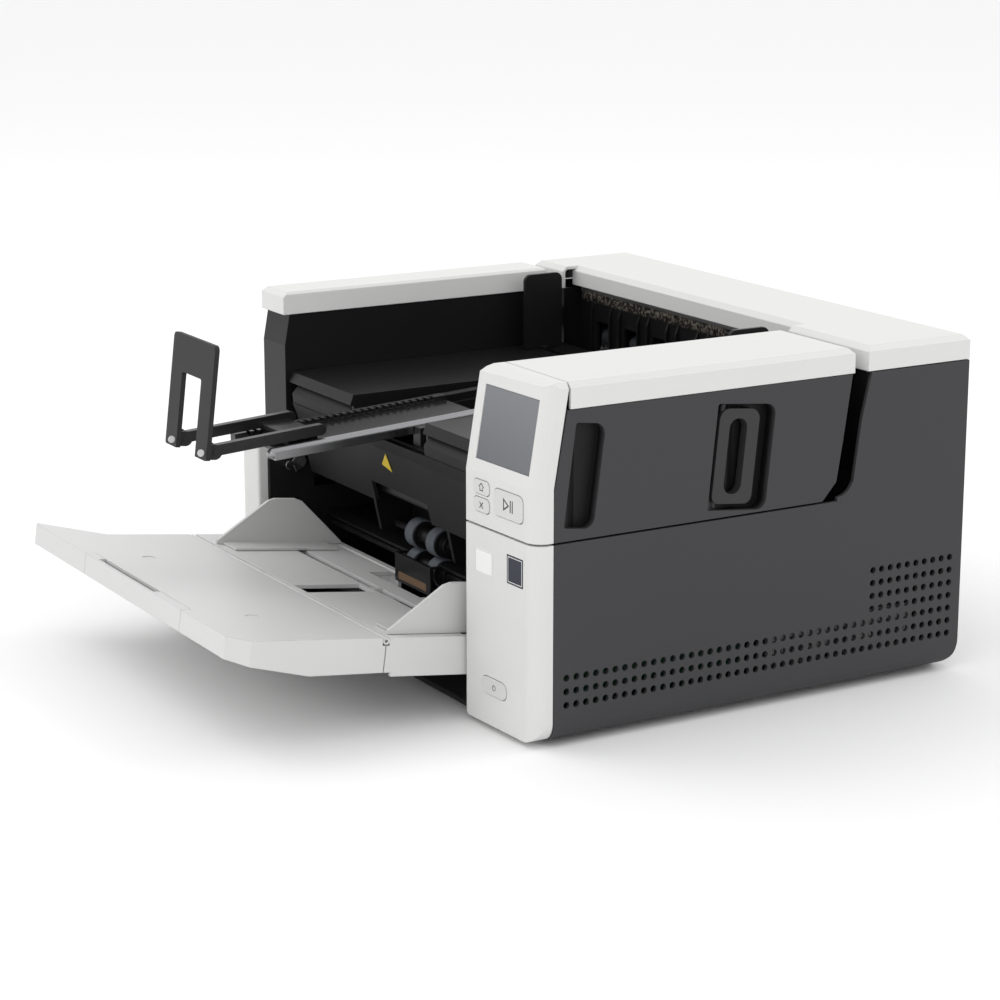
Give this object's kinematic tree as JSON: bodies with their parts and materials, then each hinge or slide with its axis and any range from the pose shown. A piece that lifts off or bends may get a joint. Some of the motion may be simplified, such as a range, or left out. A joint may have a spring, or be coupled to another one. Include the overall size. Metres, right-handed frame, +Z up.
{
  "type": "sheet fed document scanner",
  "caption": "Desktop sheet fed document scanner: low folding input tray, lift-up cover with control panel, output deck with sliding end stop.",
  "frame": {"origin": "centre of the overall box at rest, on the surface the feet stand on", "axes": "+Z up, +Y to the rear cover, the control panel faces -Y on the +X side"},
  "size_m": [0.458, 0.556, 0.2605],
  "materials": {
    "white_cover": "fine matt texture",
    "charcoal_panel": "fine matt texture",
    "inner_black": "satin",
    "fascia_grey": "satin",
    "guide_grey": "satin",
    "button_white": "satin",
    "foot_rubber": "matt",
    "brush": "fibres",
    "plate_black": "powder coat",
    "steel": "plain",
    "camera_dark": "matt",
    "scan_glass": "polished",
    "tyre_rubber": "matt",
    "idler_grey": "satin",
    "board_green": "solder mask",
    "screen": "gloss behind a clear lens"
  },
  "bodies": {
    "base": {"base_pan": "fascia_grey", "rubber_feet": "foot_rubber", "right_side_panel": "charcoal_panel", "left_side_panel": "charcoal_panel", "right_front_column": "white_cover", "left_front_column": "white_cover", "rear_panel": "charcoal_panel", "rear_top_cap": "white_cover", "exit_wall": "inner_black", "static_brush": "brush", "rear_inner_cover": "inner_black", "side_plates": "plate_black", "latch_pins": "steel", "lower_guide": "inner_black", "lower_camera": "camera_dark", "lower_glass": "scan_glass", "drive_belt": "foot_rubber", "drive_motor": "steel", "power_supply": "steel", "main_board": "board_green", "power_inlet": "inner_black", "data_ports": "steel", "hinge_brackets": "steel"},
    "cover": {"cover_frame": "inner_black", "right_arm_cover": "charcoal_panel", "right_arm_liner": "inner_black", "right_arm_cap": "white_cover", "control_panel": "white_cover", "display": "screen", "left_wall_cover": "charcoal_panel", "left_wall_cap": "white_cover", "output_deck": "inner_black", "front_fascia": "fascia_grey", "feed_module": "inner_black", "upper_camera": "camera_dark", "upper_glass": "scan_glass"},
    "separation_roller": {"separation_roller": "tyre_rubber"},
    "front_drive_roller": {"front_drive_roller": "tyre_rubber"},
    "rear_drive_roller": {"rear_drive_roller": "tyre_rubber"},
    "exit_roller": {"exit_roller": "tyre_rubber"},
    "power_button": {"power_button": "guide_grey"},
    "home_button": {"home_button": "button_white"},
    "cancel_button": {"cancel_button": "button_white"},
    "start_button": {"start_button": "button_white"},
    "release_handle": {"release_handle": "inner_black"},
    "latch_shaft": {"latch_shaft": "steel"},
    "feed_roller": {"feed_roller": "tyre_rubber"},
    "front_idler": {"front_idler": "idler_grey"},
    "rear_idler": {"rear_idler": "idler_grey"},
    "output_guide_left": {"output_guide_left": "inner_black"},
    "output_guide_right": {"output_guide_right": "inner_black"},
    "output_extension": {"output_extension": "inner_black"},
    "stop_carrier": {"stop_carrier": "inner_black"},
    "end_stop_flag": {"end_stop_flag": "inner_black"},
    "lift_table": {"lift_table": "white_cover", "tray_pin": "steel"},
    "input_tray": {"input_tray": "white_cover"},
    "tray_extension": {"tray_extension": "white_cover"},
    "input_guide_left": {"input_guide_left": "guide_grey"},
    "input_guide_right": {"input_guide_right": "guide_grey"}
  },
  "joints": [
    {"name": "cover_hinge", "type": "hinge", "parent": "base", "child": "cover", "pos_m": [0, 0.20304, 0.224], "axis": [-1, 0, 0], "range_deg": [0, 28]},
    {"name": "table_lift", "type": "slide", "parent": "base", "child": "lift_table", "axis": [0, 0, 1], "range_m": [0, 0.02]},
    {"name": "tray_fold", "type": "hinge", "parent": "lift_table", "child": "input_tray", "pos_m": [-0.0245, -0.16029, 0.06642], "axis": [-1, 0, 0], "range_deg": [0, 60]},
    {"name": "tray_pull", "type": "slide", "parent": "input_tray", "child": "tray_extension", "axis": [0, -0.9912, 0.1323], "range_m": [0, 0.06]},
    {"name": "left_guide_slide", "type": "slide", "parent": "lift_table", "child": "input_guide_left", "axis": [1, 0, 0], "range_m": [-0.025, 0.085]},
    {"name": "right_guide_slide", "type": "slide", "parent": "lift_table", "child": "input_guide_right", "axis": [-1, 0, 0], "range_m": [0, 0.11]},
    {"name": "power_press", "type": "slide", "parent": "base", "child": "power_button", "axis": [-0.0384, 0.9993, 0], "range_m": [0, 0.001], "stiffness_N_per_m": 300},
    {"name": "home_press", "type": "slide", "parent": "cover", "child": "home_button", "axis": [-0.0384, 0.9993, 0], "range_m": [0, 0.001], "stiffness_N_per_m": 300},
    {"name": "cancel_press", "type": "slide", "parent": "cover", "child": "cancel_button", "axis": [-0.0384, 0.9993, 0], "range_m": [0, 0.001], "stiffness_N_per_m": 300},
    {"name": "start_press", "type": "slide", "parent": "cover", "child": "start_button", "axis": [-0.0384, 0.9993, 0], "range_m": [0, 0.001], "stiffness_N_per_m": 300},
    {"name": "handle_pull", "type": "hinge", "parent": "cover", "child": "release_handle", "pos_m": [0.22415, 0.05364, 0.157], "axis": [0, -0.1045, -0.9945], "range_deg": [0, 14], "stiffness_Nm_per_rad": 0.4},
    {"name": "latch_turn", "type": "hinge", "parent": "cover", "child": "latch_shaft", "pos_m": [-0.0245, -0.04896, 0.146], "axis": [1, 0, 0], "range_deg": [0, 10.5]},
    {"name": "extension_slide", "type": "slide", "parent": "cover", "child": "output_extension", "axis": [0, 0.9982, 0.0593], "range_m": [0, 0.08]},
    {"name": "carrier_slide", "type": "slide", "parent": "output_extension", "child": "stop_carrier", "axis": [0, 0.9982, 0.0593], "range_m": [0, 0.03]},
    {"name": "flag_fold", "type": "hinge", "parent": "stop_carrier", "child": "end_stop_flag", "pos_m": [-0.0245, -0.22696, 0.183], "axis": [1, 0, 0], "range_deg": [0, 90]},
    {"name": "output_guide_left_slide", "type": "slide", "parent": "cover", "child": "output_guide_left", "axis": [1, 0, 0], "range_m": [0, 0.08]},
    {"name": "output_guide_right_slide", "type": "slide", "parent": "cover", "child": "output_guide_right", "axis": [1, 0, 0], "range_m": [-0.08, 0]},
    {"name": "feed_spin", "type": "hinge", "parent": "cover", "child": "feed_roller", "pos_m": [-0.0245, -0.03296, 0.08615], "axis": [1, 0, 0], "continuous": true},
    {"name": "separation_spin", "type": "hinge", "parent": "base", "child": "separation_roller", "pos_m": [-0.0245, -0.03296, 0.06285], "axis": [1, 0, 0], "continuous": true},
    {"name": "drive_spin", "type": "hinge", "parent": "base", "child": "front_drive_roller", "pos_m": [-0.0245, 0.00804, 0.0665], "axis": [1, 0, 0], "continuous": true},
    {"name": "rear_drive_spin", "type": "hinge", "parent": "base", "child": "rear_drive_roller", "pos_m": [-0.0245, 0.10604, 0.0665], "axis": [1, 0, 0], "continuous": true},
    {"name": "exit_spin", "type": "hinge", "parent": "base", "child": "exit_roller", "pos_m": [-0.0245, 0.21404, 0.198], "axis": [1, 0, 0], "continuous": true},
    {"name": "front_idler_spin", "type": "hinge", "parent": "cover", "child": "front_idler", "pos_m": [-0.0245, 0.00804, 0.0808], "axis": [1, 0, 0], "continuous": true},
    {"name": "rear_idler_spin", "type": "hinge", "parent": "cover", "child": "rear_idler", "pos_m": [-0.0245, 0.10604, 0.0808], "axis": [1, 0, 0], "continuous": true}
  ],
  "couplings": [
    {"joint": "latch_turn", "follows": "handle_pull", "ratio": 0.75},
    {"joint": "output_guide_right_slide", "follows": "output_guide_left_slide", "ratio": -1},
    {"joint": "rear_drive_spin", "follows": "drive_spin", "ratio": 1},
    {"joint": "exit_spin", "follows": "drive_spin", "ratio": 1}
  ]
}
